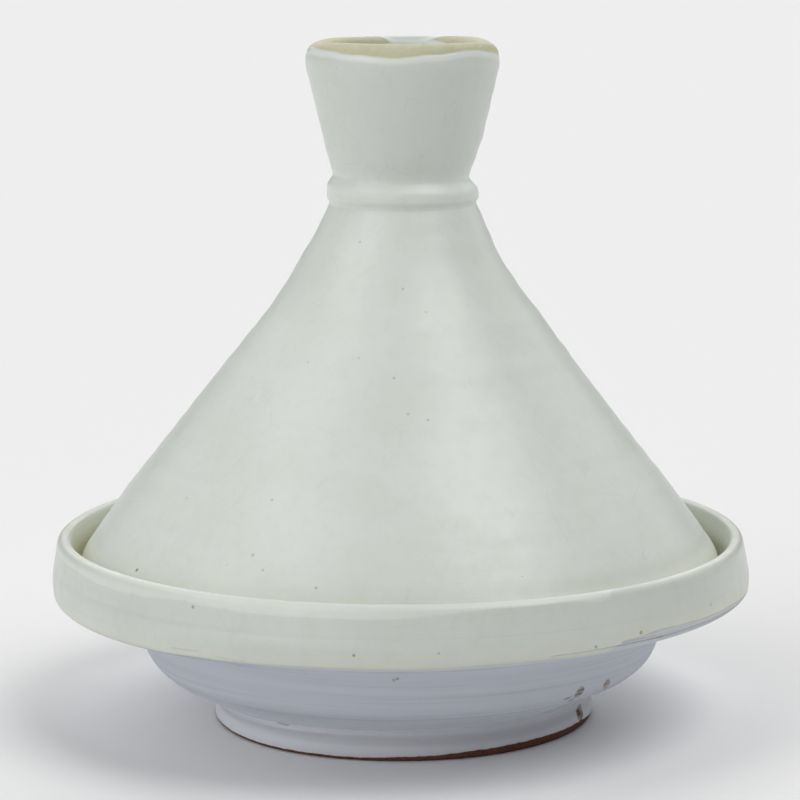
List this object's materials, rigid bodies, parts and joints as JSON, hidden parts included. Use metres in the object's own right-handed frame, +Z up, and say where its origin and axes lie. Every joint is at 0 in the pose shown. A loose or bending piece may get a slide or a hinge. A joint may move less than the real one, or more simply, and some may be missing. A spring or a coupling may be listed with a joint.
{
  "type": "tagine pot",
  "caption": "Glazed earthenware cooking pot: shallow footed dish with an upright rim, and a tall conical lid that rests on a ledge inside the rim and ends in a hollow cup-shaped knob.",
  "frame": {"origin": "middle of the plane that the foot ring stands on, on the turning axis", "axes": "+Z up along the turning axis of dish and lid; the pot is round, so +X is any direction across it"},
  "size_m": [0.3, 0.3, 0.291],
  "materials": {
    "dish_glaze": "ivory-cream satin glaze with faint crazing on the rim band and inside, over a matte bluish-white slip outside below the band, with bare brown terracotta where the foot ring stands",
    "lid_glaze": "ivory-cream satin glaze with faint crazing and a few pinholes, wiped to a straw-coloured bare band on the knob's lip"
  },
  "bodies": {
    "dish": {"dish": "dish_glaze"},
    "lid": {"lid": "lid_glaze"}
  },
  "joints": [
    {"name": "lid_lift", "type": "slide", "parent": "dish", "child": "lid", "axis": [0, 0, 1], "range_m": [0, 0.3]}
  ]
}
